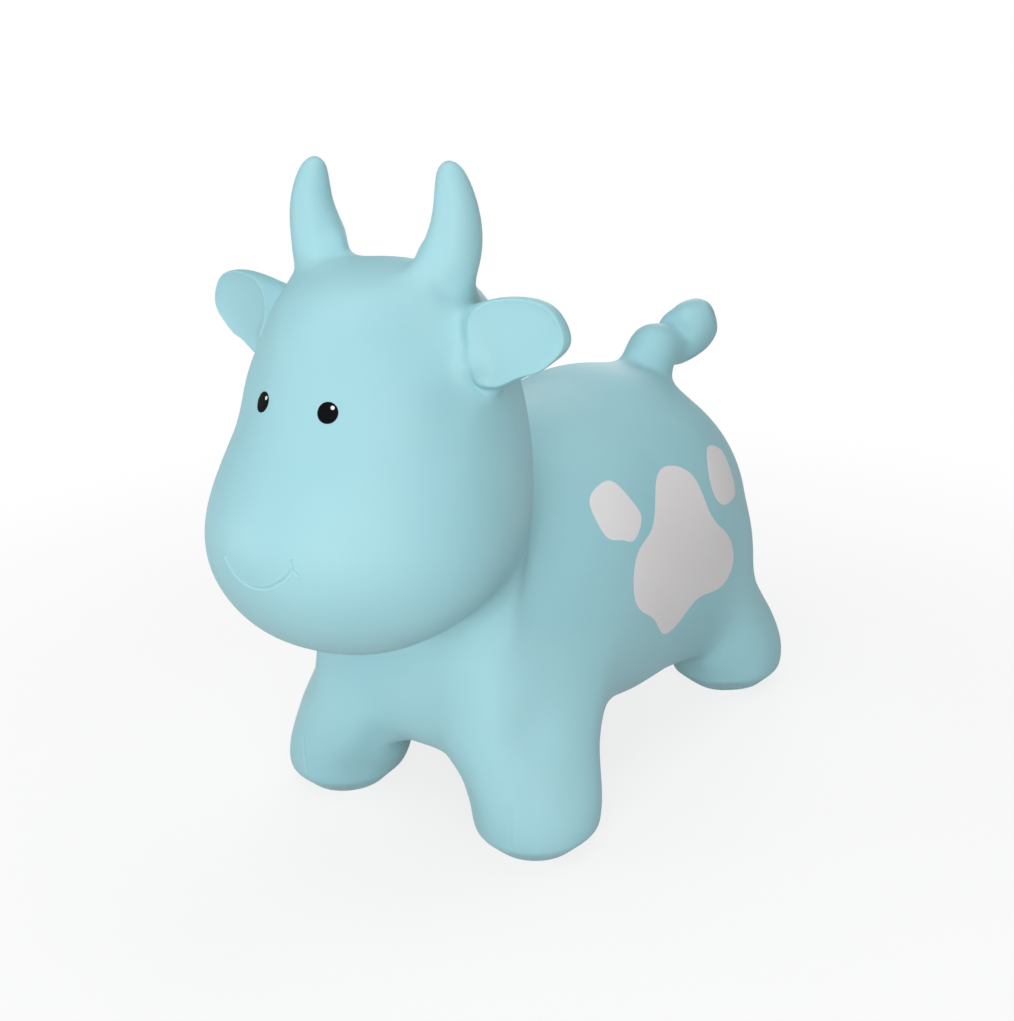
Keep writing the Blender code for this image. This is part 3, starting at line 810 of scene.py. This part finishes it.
def vinyl_material(grain, dust):
    """Satin aqua vinyl, with some dust and scuffs low down."""
    made = grained_material(
        "satin_aqua_vinyl", grain, AQUA,
        scale=320, roughness=(0.46, 0.56), specular=0.35, strength=0.10, distance=0.0006,
    )
    nodes, links = made.node_tree.nodes, made.node_tree.links
    base = nodes["Principled BSDF"].inputs["Base Color"]
    tone = base.links[0].from_socket
    ground = place_group(nodes, links, dust, {"Reach": DUST_REACH})
    dusty = combine(nodes, links, "MULTIPLY", ground.outputs["Dust"], DUST_SHARE)
    scuffed = combine(nodes, links, "MULTIPLY", ground.outputs["Scuff"], SCUFF_SHARE)
    tone = mix_colour(nodes, links, dusty, tone, DUST)
    tone = mix_colour(nodes, links, scuffed, tone, SCUFF)
    links.new(tone, base)
    return made


def white_print_material(grain):
    """Matt white print."""
    return grained_material(
        "matt_white_print", grain, PATCH_WHITE,
        scale=320, roughness=(0.55, 0.65), specular=0.30, strength=0.10, distance=0.0006,
    )


def eye_material(grain):
    """Glossy black print."""
    return grained_material(
        "glossy_black_print", grain, EYE_BLACK,
        scale=500, roughness=(0.22, 0.32), specular=0.12, strength=0.05, distance=0.0004,
    )


def spot_material(grain):
    """The bright spot printed in the eye."""
    return grained_material(
        "bright_spot_print", grain, SPOT_WHITE,
        scale=500, roughness=(0.35, 0.35), specular=0.5, strength=0.05, distance=0.0004,
    )


def plug_material(grain):
    """Milky soft plastic."""
    return grained_material(
        "milky_plug_plastic", grain, MILKY,
        scale=420, roughness=(0.36, 0.46), specular=0.5, strength=0.08, distance=0.0004,
    )


def finish_piece(piece, material, body, slot, *nodes):
    """Gives a piece its material and body, and hides the CAD nodes that it stands for; the slot is not
    used.
    """
    piece.data.materials.clear()
    piece.data.materials.append(material)
    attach(piece, body)
    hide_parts(*nodes)


def make_cow():
    """The skin with its prints and its valve, and the plug."""
    grain = moulded_grain_group()
    dust = floor_dust_group()
    white = white_print_material(grain)
    black = eye_material(grain)
    bright = spot_material(grain)
    skin = copy_skin()
    open_shell(skin)
    round_skin(skin)
    finish_form(skin)
    press_details(skin)
    for word, side in SIDES.items():
        eye, spot = make_eye(skin, word, side)
        finish_piece(eye, black, "hopper", "black_print", "eye_" + word)
        finish_piece(spot, bright, "hopper", "glint_print", "eye_glint_" + word)
        for patch, outline in PATCHES.items():
            name = patch + "_patch_" + word
            film = print_on(skin, name, flank_prism(name + "_cutter", outline, side), PRINT_LIFT)
            finish_piece(film, white, "hopper", "white_print", "patch_" + patch + "_" + word)
    seat_valve(skin)
    finish_piece(skin, vinyl_material(grain, dust), "hopper", "aqua_vinyl", "skin")
    finish_piece(make_plug(), plug_material(grain), "plug", "plug_plastic", "valve_plug")


def make_floor():
    """A plain white floor that keeps a soft shadow and fades into the white behind it."""
    bpy.ops.object.select_all(action="DESELECT")
    bpy.ops.mesh.primitive_plane_add(size=FLOOR_SIZE, location=(0, 0, -FLOOR_DROP))
    ground = bpy.context.object
    ground.name = "floor"
    made, nodes, links, shader = new_material("white_floor")
    shader.inputs["Base Color"].default_value = FLOOR_BOUNCE
    shader.inputs["Roughness"].default_value = 0.9
    shader.inputs["Specular IOR Level"].default_value = 0.1
    pale = nodes.new("ShaderNodeBsdfDiffuse")
    pale.inputs["Color"].default_value = FLOOR_PALE
    glow = nodes.new("ShaderNodeEmission")
    glow.inputs["Color"].default_value = WHITE
    where = nodes.new("ShaderNodeTexCoord")
    far = nodes.new("ShaderNodeVectorMath")
    far.operation = "LENGTH"
    links.new(where.outputs["Object"], far.inputs[0])
    fade = stretch(
        nodes, links, far.outputs["Value"],
        start=(FLOOR_NEAR, FLOOR_FAR), end=(FLOOR_NEAR_GLOW, 1), kind="SMOOTHSTEP",
    )
    bright = mix_shader(nodes, links, fade, pale.outputs["BSDF"], glow.outputs["Emission"])
    path = nodes.new("ShaderNodeLightPath").outputs
    seen = combine(nodes, links, "MAXIMUM", path["Is Camera Ray"], path["Is Glossy Ray"])
    seen = combine(nodes, links, "MAXIMUM", seen, path["Is Transmission Ray"])
    surface = mix_shader(nodes, links, seen, shader.outputs["BSDF"], bright)
    links.new(surface, nodes["Material Output"].inputs["Surface"])
    ground.data.materials.append(made)


def make_world():
    """Even light all round, white to the camera."""
    world = bpy.data.worlds.new("studio")
    bpy.context.scene.world = world
    world.use_nodes = True
    nodes, links = world.node_tree.nodes, world.node_tree.links
    light = nodes["Background"]
    light.inputs["Color"].default_value = WORLD_TINT
    light.inputs["Strength"].default_value = WORLD_STRENGTH
    white = nodes.new("ShaderNodeBackground")
    white.inputs["Color"].default_value = WHITE
    white.inputs["Strength"].default_value = 1.0
    path = nodes.new("ShaderNodeLightPath").outputs
    seen = combine(nodes, links, "MAXIMUM", path["Is Camera Ray"], path["Is Transmission Ray"])
    surface = mix_shader(nodes, links, seen, light.outputs["Background"], white.outputs["Background"])
    links.new(surface, nodes["World Output"].inputs["Surface"])


def make_lamp(name, place, width, power):
    """A round soft lamp that aims at the middle of the cow."""
    lamp = bpy.data.lights.new(name, "AREA")
    lamp.shape = "DISK"
    lamp.size = width
    lamp.energy = power
    made = bpy.data.objects.new(name, lamp)
    bpy.context.scene.collection.objects.link(made)
    made.location = place
    made.rotation_euler = (Vector(LAMP_AIM) - Vector(place)).to_track_quat("-Z", "Y").to_euler()


def make_camera():
    lens = bpy.data.cameras.new("view")
    lens.sensor_fit = "HORIZONTAL"
    lens.sensor_width = SENSOR_WIDTH
    lens.lens = CAMERA_LENS
    lens.clip_start = CLIP_START
    camera = bpy.data.objects.new("view", lens)
    bpy.context.scene.collection.objects.link(camera)
    level_part = math.cos(CAMERA_DIP)
    ahead = Vector(
        (-math.sin(CAMERA_TURN) * level_part, math.cos(CAMERA_TURN) * level_part, -math.sin(CAMERA_DIP))
    )
    level = Vector((math.cos(CAMERA_TURN), math.sin(CAMERA_TURN), 0))
    upright = level.cross(ahead)
    right = level * math.cos(CAMERA_ROLL) + upright * math.sin(CAMERA_ROLL)
    above = upright * math.cos(CAMERA_ROLL) - level * math.sin(CAMERA_ROLL)
    turned = Matrix((right, above, -ahead)).transposed().to_4x4()
    camera.matrix_world = Matrix.Translation(CAMERA_PLACE) @ turned
    bpy.context.scene.camera = camera


make_cow()
make_floor()
make_world()
for lamp_name, (lamp_place, lamp_width, lamp_power) in LAMPS.items():
    make_lamp(lamp_name, lamp_place, lamp_width, lamp_power)
make_camera()
bpy.context.scene.view_settings.view_transform = "Standard"
